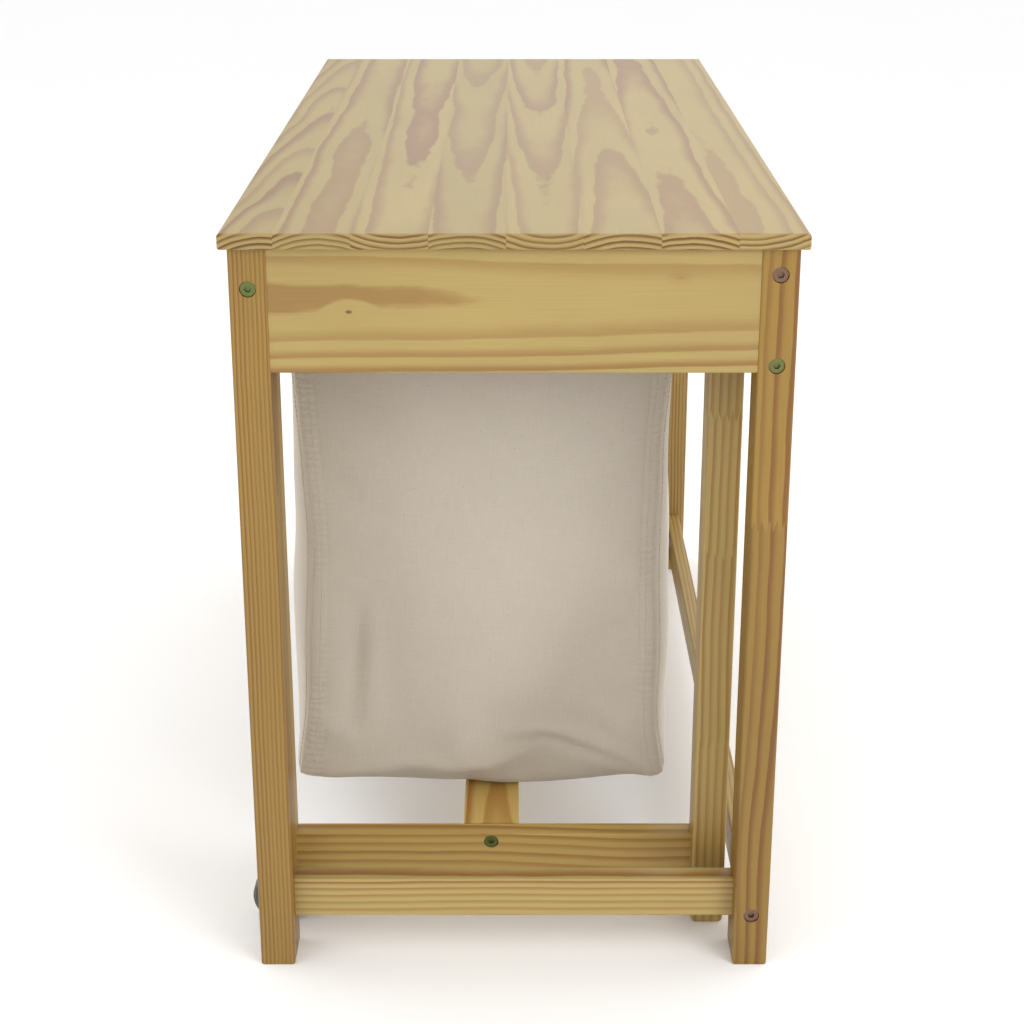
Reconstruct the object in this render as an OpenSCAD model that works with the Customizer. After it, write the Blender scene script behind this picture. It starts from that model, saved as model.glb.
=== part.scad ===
// Solid pine work table with a roll-out laundry cart parked under it.
// The front, where the cart rolls out, is -X and the closed back is +X.
// The right end is -Y, the left end is +Y, and the floor is Z = 0.

/* [Table] */
// Length of the tabletop, along Y
top_l = 1050; // [900:5:1260]
// Width of the tabletop, along X
top_w = 520; // [450:5:640]
// Height of the tabletop above the floor
table_h = 750; // [620:5:900]
// Thickness of the tabletop
top_t = 15; // [13:1:24]
// Rounding of the tabletop's edges
top_edge_r = 3.5; // [1:0.5:5]
// Width of the foremost stave, which is cut to fit
first_stave_w = 49; // [40:1:60]
// Width of the hindmost stave, which is cut to fit
last_stave_w = 63; // [50:1:70]
// How far the tabletop stands out past the legs
overhang = 7.5; // [4:0.5:20]
// Width of a table leg, along X
leg_w = 34; // [30:1:42]
// Depth of a table leg, along Y
leg_d = 46; // [40:1:56]
// Height of the two end aprons
apron_h = 115; // [95:1:140]
// Thickness of the two end aprons
apron_t = 20; // [16:1:24]
// How far an end apron is set back from the legs' faces
apron_setback = 1.5; // [0:0.5:5]
// Height of the narrow rail over the open front
front_rail_h = 76; // [62:1:92]
// Height of the apron along the back
back_apron_h = 132; // [108:1:160]
// Thickness of the boards that run lengthwise
long_t = 18; // [16:1:22]

/* [Low rails] */
// Height of a low rail
low_rail_h = 42; // [35:1:50]
// Height of the table's low rails above the floor
low_rail_z = 45; // [38:1:60]
// Thickness of the end frames' low rails
low_rail_t = 22; // [18:1:24]
// How far the table's end low rails are set back from the legs' faces
low_rail_setback = 17.5; // [12:0.5:20]

/* [Cart] */
// Room between a table leg and the cart, at each end
cart_end_gap = 28.5; // [15:0.5:40]
// Room between the parked cart and the back low rail
cart_back_gap = 10; // [5:1:20]
// How far the parked cart's legs stay behind the tabletop's front edge
cart_front_inset = 2; // [0:1:20]
// Room between the cart and the rail over the open front
cart_head_gap = 14; // [8:1:30]
// Width of a cart leg, along X
cart_leg_w = 33; // [28:1:40]
// Depth of a cart leg, along Y
cart_leg_d = 46; // [44:1:56]
// Height of the cart's low rails above the floor
cart_low_rail_z = 47; // [40:1:60]
// Height of the cart's top rails
cart_top_rail_h = 42; // [36:1:50]
// Width of the centre board
board_w = 58; // [48:1:80]
// Thickness of the centre board
board_t = 18; // [16:1:22]

/* [Bags] */
// Number of bags side by side
bag_count = 3; // [3:3]
// Room between an end frame and the nearest bag
bag_end_gap = 22; // [10:1:30]
// Room between two bags
bag_space = 9; // [4:1:20]
// Room between the bags and the front legs
bag_front_gap = 7; // [4:1:20]
// Room between the bags and the back legs
bag_back_gap = 27.5; // [10:0.5:40]
// Height of the bags' bottoms above the centre board
bag_lift = 41; // [20:1:80]
// Thickness of a bag's wall
cloth_t = 2; // [1.5:0.1:3]
// Diameter of a bag rod
rod_d = 15; // [12:1:18]
// Clearance of a rod in its sleeve
sleeve_gap = 0.6; // [0.4:0.1:1.5]
// Clearance of a rod in its notch
notch_gap = 0.3; // [0.2:0.1:1]

/* [Wheels] */
// Diameter of a wheel
wheel_d = 56; // [44:1:60]
// Thickness of a wheel
wheel_t = 20; // [16:1:22]
// Thickness of the tyre, from its tread to the hub
tyre_depth = 8; // [6:0.5:10]
// Diameter of an axle bolt
axle_d = 8; // [6:1:10]
// Running clearance of the wheel on its axle, on the radius
axle_fit = 0.05; // [0.02:0.01:0.1]
// Side play of the wheel
wheel_play = 0.4; // [0.3:0.1:1]
// Thickness of an axle washer
washer_t = 1.2; // [1:0.1:2]
// How far the wheel's face lies behind the leg's face
wheel_inset = 1; // [0:0.5:2]
// Room between the wheel and the wood over it
wheel_head_gap = 6; // [3:1:12]
// Least room between a wheel of the parked cart and the back low rail
wheel_rail_gap = 5; // [4.5:0.5:15]
// Room between a wheel leg's foot and the floor
wheel_leg_lift = 4; // [2:1:8]

/* [Fasteners] */
// Diameter of a frame bolt
bolt_d = 6; // [5:1:8]
// Diameter of a bolt head
bolt_head_d = 14; // [12:1:16]
// Clearance hole around a bolt, on the radius
bolt_gap = 0.25; // [0.2:0.05:0.5]
// Diameter of a dowel
dowel_d = 8; // [6:1:10]
// Length of a dowel between a leg and a rail
dowel_l = 34; // [30:1:36]
// Diameter of a barrel nut
nut_d = 10; // [10:1:12]
// Length of a barrel nut
nut_l = 13; // [11:1:14]

/* [Hidden] */
$fn = 48;

// Ends and sides, as the sign of the axis they lie on
RIGHT = -1;
LEFT = 1;
FRONT = -1;
BACK = 1;

// Small fixed sizes
edge_r = 1.5;            // rounding of every board's long edges
leg_edge_r = 2;          // rounding of the legs' long edges
foot_r = 3;              // rounding of a table leg's foot
cart_foot_r = 6;         // rounding of a cart leg's foot
glue_gap = 0.02;         // room around a glued dowel, on the radius
stave_count = 8;
past = 1;                // how far a cut runs past the face it opens
head_t = 4;              // thickness of a bolt head
head_sink = 1.5;         // depth of a bolt head below the wood
nut_inset = 18;          // distance of a barrel nut from its board's end
bolt_tip = 9;            // length of a bolt past the middle of its nut
screw_l = 52;            // length of a board screw under its head

// Table
under_top = table_h - top_t;
leg_x = top_w / 2 - overhang - leg_w / 2;
leg_y = top_l / 2 - overhang - leg_d / 2;
leg_face_y = leg_y + leg_d / 2;
frame_w = 2 * leg_x - leg_w;               // length of the boards across an end frame
frame_l = 2 * leg_y - leg_d;               // length of the boards along the table
apron_y = leg_face_y - apron_setback - apron_t / 2;
end_low_y = leg_face_y - low_rail_setback - low_rail_t / 2;
stave_w = (top_w - first_stave_w - last_stave_w) / (stave_count - 2);

// Where the table's lengthwise boards are bolted, as [x, z]
front_bolts = [[-leg_x, under_top - front_rail_h / 2 + 1]];
back_bolts = [[leg_x, under_top - 24], [leg_x, under_top - back_apron_h + 24]];
low_bolts = [[leg_x, low_rail_z + 11]];
table_bolts = concat(front_bolts, back_bolts, low_bolts);

// Where the end frames are dowelled, as [distance from the middle, z]
apron_dowels = [[apron_y, under_top - apron_h + 32], [apron_y, under_top - apron_h + 60]];
low_dowels = [[end_low_y, low_rail_z + low_rail_h - 12]];

// Where the top is dowelled to the frame, as [x, y]
top_dowel_l = 28;
top_dowel_in = top_t - 5;
top_dowel_spots = concat(
    [for (k = [2, 5, 7], end = [RIGHT, LEFT]) [stave_mid(k), end * apron_y]],
    [for (x = [-leg_x, leg_x], y = [-frame_l / 4, frame_l / 4]) [x, y]]
);

// Cart
back_rail_face = leg_x - long_t / 2;
wheel_r = wheel_d / 2;
// How far a wheel stands out past its leg at the height of the back low rail's lower edge
rail_edge_z = low_rail_z + edge_r;
wheel_reach = max(0, sqrt(max(0, wheel_r ^ 2 - (rail_edge_z - wheel_r) ^ 2)) - cart_leg_w / 2);
cart_x0 = -top_w / 2 + cart_front_inset;
cart_x1 = back_rail_face - max(cart_back_gap, wheel_reach + wheel_rail_gap);
cart_l = frame_l - 2 * cart_end_gap;
cart_h = under_top - front_rail_h - cart_head_gap;
cart_leg_x = [cart_x0 + cart_leg_w / 2, cart_x1 - cart_leg_w / 2];
cart_leg_y = cart_l / 2 - cart_leg_d / 2;
cart_mid_x = (cart_x0 + cart_x1) / 2;
cart_frame_w = cart_x1 - cart_x0 - 2 * cart_leg_w;
cart_in_l = cart_l - 2 * cart_leg_d;
cart_rail_y = cart_in_l / 2 + low_rail_t / 2;
cart_top_z = cart_h - cart_top_rail_h;
cart_low_top = cart_low_rail_z + low_rail_h;
board_x = cart_mid_x - 2.5;
cart_bolt_z = cart_top_z + 13;
cart_dowels_at = [
    [cart_rail_y, cart_top_z + 31],
    [cart_rail_y, cart_low_rail_z + 11], [cart_rail_y, cart_low_rail_z + 31]
];

// Bags and rods
bag_x0 = cart_x0 + cart_leg_w + bag_front_gap;
bag_x1 = cart_x1 - cart_leg_w - bag_back_gap;
bag_l = (cart_in_l - 2 * bag_end_gap - (bag_count - 1) * bag_space) / bag_count;
bag_z0 = cart_low_top + bag_lift;
sleeve_r = rod_d / 2 + sleeve_gap + cloth_t;
rod_z = cart_h - rod_d / 2 - 3.5;
rod_in = bag_l / 2 - sleeve_r;             // distance of a rod from its bag's middle
bag_rim_z = rod_z - sleeve_r - 10;
bag_corner_r = 12;
rod_l = cart_leg_x[1] - cart_leg_x[0] + long_t;

// Wheels
rebate_d = wheel_inset + wheel_t + wheel_play + washer_t;
rebate_h = wheel_d + wheel_head_gap;
wheel_y = cart_l / 2 - wheel_inset - wheel_t / 2;
hub_r = wheel_r - tyre_depth;
axle_head_t = 4;
axle_nut_t = 6;
washer_r = axle_d;

// The wheel rim stands out past the tabletop, and the origin is under the whole object's middle
wheel_out = max(0, wheel_r - cart_leg_w / 2 - cart_front_inset);
origin_shift = wheel_out / 2;

// Colours
pine = "#d8bd84";
pine_dark = "#c49c5c";
beech = "#dcc59a";
canvas = "#cfc6b4";
zinc = "#8b8a5c";
steel = "#a9a9a6";
grey_tyre = "#6b6866";
grey_hub = "#55534f";

// ---- Helpers ----

// The X position of the front edge of stave k, and of its middle
function stave_edge(k) = -top_w / 2
    + (k <= 1 ? 0 : first_stave_w + (min(k, stave_count) - 2) * stave_w)
    + (k > stave_count ? last_stave_w : 0);
function stave_mid(k) = (stave_edge(k) + stave_edge(k + 1)) / 2;

// Everything is modelled round the table's middle, and this puts the origin under the whole
module in_place() translate([origin_shift, 0, 0]) children();

// Rectangle round the origin with round corners
module round_rect(w, h, r) {
    square([w - 2 * r, h], center = true);
    square([w, h - 2 * r], center = true);
    for (x = [-1, 1], y = [-1, 1])
        translate([x * (w / 2 - r), y * (h / 2 - r)]) circle(r);
}

// Board lying along X or along Y, round its own middle
module board_along_x(l, t, h)
    rotate([90, 0, 90]) linear_extrude(l, center = true) round_rect(t, h, edge_r);
module board_along_y(l, t, h)
    rotate([90, 0, 0]) linear_extrude(l, center = true) round_rect(t, h, edge_r);

// Outline of a leg seen from the end, with its foot at z0 rounded by r
module leg_outline(w, z0, z1, r) {
    translate([-w / 2, z0 + r]) square([w, z1 - z0 - r]);
    translate([-w / 2 + r, z0]) square([w - 2 * r, 2 * r]);
    for (x = [-1, 1]) translate([x * (w / 2 - r), z0 + r]) circle(r);
}

// Leg round its own axis, from z0 to z1
module leg_blank(w, d, z0, z1, r) {
    intersection() {
        translate([0, 0, z0]) linear_extrude(z1 - z0) round_rect(w, d, leg_edge_r);
        rotate([90, 0, 0]) linear_extrude(d, center = true) leg_outline(w, z0, z1, r);
    }
}

// Puts what follows at [x, z] on an end face, with its +Z pointing into the object
module into_end(end, spot, face_y)
    translate([spot[0], end * face_y, spot[1]]) rotate([end * 90, 0, 0]) children();

// Bolt with a round head and a hexagonal socket, its head sunk in the face at Z = 0
module bolt(l) {
    difference() {
        translate([0, 0, head_sink]) cylinder(d = bolt_head_d, h = head_t);
        translate([0, 0, head_sink - past]) cylinder(d = bolt_head_d * 0.5, h = 2.6 + past, $fn = 6);
    }
    translate([0, 0, head_sink + head_t]) cylinder(d = bolt_d, h = l);
}

// The hole for that bolt, through depth mm of wood
module bolt_hole(depth) {
    translate([0, 0, -past]) cylinder(d = bolt_head_d + 1, h = head_sink + head_t + past);
    cylinder(r = bolt_d / 2 + bolt_gap, h = depth);
}

// Barrel nut across a bolt, and the blind hole that lets it in from the board's inner face
module barrel_nut(depth) {
    difference() {
        translate([0, 0, depth]) rotate([0, 90, 0]) cylinder(d = nut_d, h = nut_l, center = true);
        cylinder(r = bolt_d / 2 + glue_gap, h = depth + nut_d);
    }
}
module barrel_hole(depth, inward)
    translate([0, 0, depth]) rotate([0, inward * 90, 0]) translate([0, 0, -nut_l / 2 - 0.1])
        cylinder(r = nut_d / 2 + 0.05, h = nut_l / 2 + long_t / 2 + past);

// Dowels across an end frame's joints, grown by gap for their holes
module end_dowels(end, spots, joint_x, gap = 0)
    for (spot = spots, x = joint_x)
        translate([x, end * spot[0], spot[1]]) rotate([0, 90, 0])
            cylinder(r = dowel_d / 2 + gap, h = dowel_l + 50 * gap, center = true);

table_joint_x = [-frame_w / 2, frame_w / 2];
cart_joint_x = [cart_x0 + cart_leg_w, cart_x1 - cart_leg_w];

// ---- Table ----

// Every hole in the table at one end
module table_holes(end) {
    for (spot = table_bolts) into_end(end, spot, leg_face_y) {
        bolt_hole(leg_d + nut_inset + bolt_tip + 2);
        barrel_hole(leg_d + nut_inset, -sign(spot[0]));
    }
    end_dowels(end, concat(apron_dowels, low_dowels), table_joint_x, glue_gap);
}

module top_dowel_set(gap = 0)
    for (spot = top_dowel_spots)
        translate([spot[0], spot[1], under_top + top_dowel_in - top_dowel_l - 25 * gap])
            cylinder(r = dowel_d / 2 + gap, h = top_dowel_l + 50 * gap);

module top_blank() {
    intersection() {
        translate([0, 0, under_top]) linear_extrude(top_t) round_rect(top_w, top_l, 2);
        translate([0, 0, under_top + top_t / 2]) rotate([90, 0, 0])
            linear_extrude(top_l, center = true) round_rect(top_w, top_t, top_edge_r);
        translate([0, 0, under_top + top_t / 2]) rotate([90, 0, 90])
            linear_extrude(top_w, center = true) round_rect(top_l, top_t, top_edge_r);
    }
}

module top_stave(k)
    color(pine) in_place() difference() {
        intersection() {
            top_blank();
            translate([stave_edge(k), -top_l / 2, under_top])
                cube([stave_edge(k + 1) - stave_edge(k), top_l, top_t]);
        }
        top_dowel_set(glue_gap);
    }

module top_dowels() color(beech) in_place() top_dowel_set();

module table_leg(side, end)
    color(pine_dark) in_place() difference() {
        translate([side * leg_x, end * leg_y, 0]) leg_blank(leg_w, leg_d, 0, under_top, foot_r);
        table_holes(end);
    }

module end_apron(end)
    color(pine) in_place() difference() {
        translate([0, end * apron_y, under_top - apron_h / 2])
            board_along_x(frame_w, apron_t, apron_h);
        table_holes(end);
        top_dowel_set(glue_gap);
    }

module end_low_rail(end)
    color(pine) in_place() difference() {
        translate([0, end * end_low_y, low_rail_z + low_rail_h / 2])
            board_along_x(frame_w, low_rail_t, low_rail_h);
        table_holes(end);
    }

// Board along the table at x, with its top at z1
module table_long_board(x, z1, h)
    color(pine) in_place() difference() {
        translate([x, 0, z1 - h / 2]) board_along_y(frame_l, long_t, h);
        table_holes(RIGHT);
        table_holes(LEFT);
        top_dowel_set(glue_gap);
    }

module front_top_rail() table_long_board(-leg_x, under_top, front_rail_h);
module back_apron() table_long_board(leg_x, under_top, back_apron_h);
module back_low_rail() table_long_board(leg_x, low_rail_z + low_rail_h, low_rail_h);

module frame_dowels()
    color(beech) in_place() for (end = [RIGHT, LEFT])
        end_dowels(end, concat(apron_dowels, low_dowels), table_joint_x);

module frame_bolts()
    color(zinc) in_place() for (end = [RIGHT, LEFT], spot = table_bolts)
        into_end(end, spot, leg_face_y)
            bolt(leg_d + nut_inset + bolt_tip - head_sink - head_t);

module frame_barrel_nuts()
    color(steel) in_place() for (end = [RIGHT, LEFT], spot = table_bolts)
        into_end(end, spot, leg_face_y) barrel_nut(leg_d + nut_inset);

// ---- Cart ----

// Every bolt, screw and dowel hole in the cart at one end
module cart_holes(end) {
    for (side = [0, 1]) into_end(end, [cart_leg_x[side], cart_bolt_z], cart_l / 2) {
        bolt_hole(cart_leg_d + nut_inset + bolt_tip + 2);
        barrel_hole(cart_leg_d + nut_inset, 1 - 2 * side);
    }
    into_end(end, [board_x, cart_low_top - board_t / 2], cart_in_l / 2 + low_rail_t) {
        translate([0, 0, -past]) cylinder(d = bolt_head_d + 1, h = head_sink + head_t + past);
        cylinder(r = bolt_d / 2 + glue_gap, h = head_sink + head_t + screw_l + past);
    }
    end_dowels(end, cart_dowels_at, cart_joint_x, glue_gap);
}

// A cart leg; a wheel leg stops short of the floor and has a rebate for its wheel
module cart_leg(side, end, wheel = false) {
    x = cart_leg_x[side == FRONT ? 0 : 1];
    foot_z = wheel ? wheel_leg_lift : 0;
    color(pine_dark) in_place() difference() {
        translate([x, end * cart_leg_y, 0])
            leg_blank(cart_leg_w, cart_leg_d, foot_z, cart_h, cart_foot_r);
        cart_holes(end);
        if (wheel) into_end(end, [x, 0], cart_l / 2) {
            translate([-cart_leg_w, end * rebate_h / 2 - rebate_h / 2, -past])
                cube([2 * cart_leg_w, rebate_h, rebate_d + past]);
            translate([0, end * wheel_r, 0]) cylinder(d = axle_d + 2 * axle_fit, h = cart_leg_d + past);
        }
    }
}

// Board across an end frame of the cart, flush with the legs' inner faces
module cart_end_rail(end, z0, h)
    color(pine) in_place() difference() {
        translate([cart_mid_x, end * cart_rail_y, z0 + h / 2])
            board_along_x(cart_frame_w, low_rail_t, h);
        cart_holes(end);
    }

// Where the rods lie along the cart
function rod_y(k) = bag_y(ceil(k / 2)) + (k % 2 == 1 ? -1 : 1) * rod_in;
function bag_y(k) = (k - (bag_count + 1) / 2) * (bag_l + bag_space);

// Long top rail with an open notch for each rod
module cart_long_rail(side)
    color(pine) in_place() difference() {
        translate([cart_leg_x[side == FRONT ? 0 : 1], 0, cart_h - cart_top_rail_h / 2])
            board_along_y(cart_in_l, long_t, cart_top_rail_h);
        cart_holes(RIGHT);
        cart_holes(LEFT);
        for (k = [1 : 2 * bag_count]) translate([cart_mid_x, rod_y(k), rod_z]) {
            rotate([0, 90, 0]) cylinder(d = rod_d + 2 * notch_gap, h = top_w, center = true);
            translate([-top_w / 2, -rod_d / 2 - notch_gap, 0])
                cube([top_w, rod_d + 2 * notch_gap, cart_h]);
        }
    }

module centre_board()
    color(pine_dark) in_place() difference() {
        translate([board_x, 0, cart_low_top - board_t / 2])
            board_along_y(cart_in_l, board_w, board_t);
        cart_holes(RIGHT);
        cart_holes(LEFT);
    }

module board_screws()
    color(zinc) in_place() for (end = [RIGHT, LEFT])
        into_end(end, [board_x, cart_low_top - board_t / 2], cart_in_l / 2 + low_rail_t)
            bolt(screw_l);

module cart_dowels()
    color(beech) in_place() for (end = [RIGHT, LEFT]) end_dowels(end, cart_dowels_at, cart_joint_x);

module cart_bolts()
    color(zinc) in_place() for (end = [RIGHT, LEFT], side = [0, 1])
        into_end(end, [cart_leg_x[side], cart_bolt_z], cart_l / 2)
            bolt(cart_leg_d + nut_inset + bolt_tip - head_sink - head_t);

module cart_barrel_nuts()
    color(steel) in_place() for (end = [RIGHT, LEFT], side = [0, 1])
        into_end(end, [cart_leg_x[side], cart_bolt_z], cart_l / 2)
            barrel_nut(cart_leg_d + nut_inset);

module bag_rod(k)
    color(beech) in_place()
        translate([cart_mid_x, rod_y(k), rod_z]) rotate([0, 90, 0])
            cylinder(d = rod_d, h = rod_l, center = true);

// Open canvas bag: a tub of cloth with a rod sleeve along two of its top edges
module bag(k) {
    w = bag_x1 - bag_x0;
    color(canvas) in_place() translate([(bag_x0 + bag_x1) / 2, bag_y(k), 0]) {
        difference() {
            translate([0, 0, bag_z0]) linear_extrude(bag_rim_z - bag_z0)
                round_rect(w, bag_l, bag_corner_r);
            translate([0, 0, bag_z0 + cloth_t]) linear_extrude(bag_rim_z - bag_z0)
                round_rect(w - 2 * cloth_t, bag_l - 2 * cloth_t, bag_corner_r - cloth_t);
        }
        for (s = [-1, 1]) difference() {
            union() {
                translate([0, s * (bag_l / 2 - cloth_t / 2), (bag_rim_z + rod_z) / 2 - 1])
                    cube([w - 2 * bag_corner_r, cloth_t, rod_z - bag_rim_z + 2], center = true);
                translate([0, s * rod_in, rod_z]) rotate([0, 90, 0])
                    cylinder(r = sleeve_r, h = w - 2 * bag_corner_r, center = true);
            }
            translate([0, s * rod_in, rod_z]) rotate([0, 90, 0])
                cylinder(r = rod_d / 2 + sleeve_gap, h = w, center = true);
        }
    }
}

// ---- Wheels ----

// Puts what follows on a wheel's axle, at the leg's outer face, with +Z pointing into the object
module on_axle(end) {
    x = cart_leg_x[end == RIGHT ? 0 : 1];
    in_place() into_end(end, [x, wheel_r], cart_l / 2) children();
}

module tyre(end)
    color(grey_tyre) on_axle(end) translate([0, 0, wheel_inset]) rotate_extrude($fn = 96)
        difference() {
            translate([wheel_r - tyre_depth / 2 - 2, wheel_t / 2])
                round_rect(tyre_depth + 4, wheel_t, 4);
            square([hub_r, wheel_t]);
        }

module hub(end)
    color(grey_hub) on_axle(end) translate([0, 0, wheel_inset]) rotate_extrude($fn = 96) {
        bore_r = axle_d / 2 + axle_fit;
        translate([bore_r, 0]) square([axle_d / 2, wheel_t]);
        translate([bore_r, wheel_t / 2 - 2]) square([hub_r - glue_gap - bore_r, 4]);
        translate([hub_r - glue_gap - 3, 1.5]) square([3, wheel_t - 3]);
    }

// Depths below the leg's outer face, along the axle
axle_head_z = wheel_inset - wheel_play / 2;
inner_washer_z = rebate_d - washer_t;

module axle_bolts()
    color(steel) for (end = [RIGHT, LEFT]) on_axle(end) {
        translate([0, 0, axle_head_z - axle_head_t]) difference() {
            cylinder(r = axle_d * 0.85, h = axle_head_t);
            translate([0, 0, -past]) cylinder(d = axle_d * 0.75, h = 2.5 + past, $fn = 6);
        }
        translate([0, 0, axle_head_z])
            cylinder(d = axle_d, h = cart_leg_d + washer_t + axle_nut_t + 2 - axle_head_z);
    }

module axle_washers()
    color(steel) for (end = [RIGHT, LEFT]) on_axle(end)
        for (z = [inner_washer_z, cart_leg_d]) translate([0, 0, z]) difference() {
            cylinder(r = washer_r, h = washer_t);
            translate([0, 0, -past]) cylinder(r = axle_d / 2 + axle_fit, h = washer_t + 2 * past);
        }

module axle_nuts()
    color(steel) for (end = [RIGHT, LEFT]) on_axle(end)
        translate([0, 0, cart_leg_d + washer_t]) difference() {
            cylinder(d = axle_d * 1.85, h = axle_nut_t, $fn = 6);
            translate([0, 0, -past]) cylinder(r = axle_d / 2 + glue_gap, h = axle_nut_t + 2 * past);
        }

top_stave(1);  // top_stave_1
top_stave(2);  // top_stave_2
top_stave(3);  // top_stave_3
top_stave(4);  // top_stave_4
top_stave(5);  // top_stave_5
top_stave(6);  // top_stave_6
top_stave(7);  // top_stave_7
top_stave(8);  // top_stave_8
top_dowels();
table_leg(FRONT, RIGHT);  // table_leg_front_right
table_leg(BACK, RIGHT);  // table_leg_back_right
table_leg(FRONT, LEFT);  // table_leg_front_left
table_leg(BACK, LEFT);  // table_leg_back_left
end_apron(RIGHT);  // end_apron_right
end_apron(LEFT);  // end_apron_left
front_top_rail();
back_apron();
back_low_rail();
end_low_rail(RIGHT);  // end_low_rail_right
end_low_rail(LEFT);  // end_low_rail_left
frame_dowels();
frame_bolts();
frame_barrel_nuts();
cart_leg(FRONT, RIGHT, wheel = true);  // cart_leg_front_right
cart_leg(BACK, RIGHT);  // cart_leg_back_right
cart_leg(FRONT, LEFT);  // cart_leg_front_left
cart_leg(BACK, LEFT, wheel = true);  // cart_leg_back_left
cart_end_rail(RIGHT, cart_low_rail_z, low_rail_h);  // cart_low_rail_right
cart_end_rail(LEFT, cart_low_rail_z, low_rail_h);  // cart_low_rail_left
cart_end_rail(RIGHT, cart_top_z, cart_top_rail_h);  // cart_top_rail_right
cart_end_rail(LEFT, cart_top_z, cart_top_rail_h);  // cart_top_rail_left
cart_long_rail(FRONT);  // cart_front_rail
cart_long_rail(BACK);  // cart_back_rail
centre_board();
board_screws();
cart_dowels();
cart_bolts();
cart_barrel_nuts();
bag_rod(1);  // bag_rod_1
bag_rod(2);  // bag_rod_2
bag_rod(3);  // bag_rod_3
bag_rod(4);  // bag_rod_4
bag_rod(5);  // bag_rod_5
bag_rod(6);  // bag_rod_6
bag(1);  // bag_right
bag(2);  // bag_middle
bag(3);  // bag_left
tyre(RIGHT);  // wheel_right_tyre
hub(RIGHT);  // wheel_right_hub
tyre(LEFT);  // wheel_left_tyre
hub(LEFT);  // wheel_left_hub
axle_bolts();
axle_washers();
axle_nuts();
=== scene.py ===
import math

import bmesh
import bpy
import numpy as np
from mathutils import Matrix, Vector, geometry, noise
from mathutils.bvhtree import BVHTree


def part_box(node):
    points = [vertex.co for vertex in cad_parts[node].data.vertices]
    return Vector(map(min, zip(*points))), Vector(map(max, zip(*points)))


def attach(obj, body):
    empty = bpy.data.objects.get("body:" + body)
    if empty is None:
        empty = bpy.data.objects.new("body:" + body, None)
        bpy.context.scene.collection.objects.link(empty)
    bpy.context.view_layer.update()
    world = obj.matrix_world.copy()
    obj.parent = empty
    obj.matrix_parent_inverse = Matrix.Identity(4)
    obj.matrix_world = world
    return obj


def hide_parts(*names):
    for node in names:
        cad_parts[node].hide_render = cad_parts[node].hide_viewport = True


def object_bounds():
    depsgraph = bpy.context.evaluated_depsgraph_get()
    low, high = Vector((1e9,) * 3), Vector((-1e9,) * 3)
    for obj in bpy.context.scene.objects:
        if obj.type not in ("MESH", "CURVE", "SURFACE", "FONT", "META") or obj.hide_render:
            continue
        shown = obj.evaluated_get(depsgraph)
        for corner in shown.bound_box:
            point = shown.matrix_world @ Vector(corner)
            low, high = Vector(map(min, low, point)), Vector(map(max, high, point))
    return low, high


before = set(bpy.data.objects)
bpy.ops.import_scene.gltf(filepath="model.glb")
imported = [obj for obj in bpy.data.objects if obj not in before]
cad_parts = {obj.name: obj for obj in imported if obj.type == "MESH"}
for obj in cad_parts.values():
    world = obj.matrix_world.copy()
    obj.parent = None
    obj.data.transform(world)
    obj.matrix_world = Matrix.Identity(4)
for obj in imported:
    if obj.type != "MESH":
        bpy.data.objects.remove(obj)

bl_info = {
    "name": "Laundry Sorter Looks",
    "version": (1, 0, 0),
    "blender": (4, 5, 0),
    "location": "View3D > Sidebar > Sorter",
    "description": "Pine, canvas, wheels and hardware for a laundry sorter table",
    "category": "Object",
}

CAD_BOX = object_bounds()
MM = 0.001


# ---------------------------------------------------------------- shader maths


def linear(red, green, blue):
    """A display colour from 0 to 255 as a linear colour."""

    def one(c):
        c /= 255
        return c / 12.92 if c <= 0.04045 else ((c + 0.055) / 1.055) ** 2.4

    return (one(red), one(green), one(blue), 1.0)


class Val:
    """A shader socket that takes part in ordinary arithmetic."""

    def __init__(self, finish, socket):
        self.finish, self.socket = finish, socket

    def _math(self, operation, *others):
        return self.finish.node(
            "ShaderNodeMath",
            {"operation": operation},
            {i: v for i, v in enumerate((self, *others))},
        )

    def __add__(self, other):
        return self._math("ADD", other)

    __radd__ = __add__

    def __sub__(self, other):
        return self._math("SUBTRACT", other)

    def __rsub__(self, other):
        return (self * -1.0) + other

    def __mul__(self, other):
        return self._math("MULTIPLY", other)

    __rmul__ = __mul__

    def __truediv__(self, other):
        return self._math("DIVIDE", other)

    def __gt__(self, other):
        return self._math("GREATER_THAN", other)

    def sqrt(self):
        return self._math("SQRT")

    def fract(self):
        return self._math("FRACT")

    def floor(self):
        return self._math("FLOOR")

    def abs(self):
        return self._math("ABSOLUTE")

    def sine(self):
        return self._math("SINE")

    def least(self, other):
        return self._math("MINIMUM", other)

    def most(self, other):
        return self._math("MAXIMUM", other)

    def wave(self, half):
        """A zigzag from 0 to half and back, once every 2 * half."""
        return self._math("PINGPONG", half)

    def ramp(self, start, end, low=0.0, high=1.0):
        """Goes smoothly from low at start to high at end."""
        return self.finish.node(
            "ShaderNodeMapRange",
            {"interpolation_type": "SMOOTHSTEP"},
            {0: self, 1: start, 2: end, 3: low, 4: high},
        )


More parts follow.
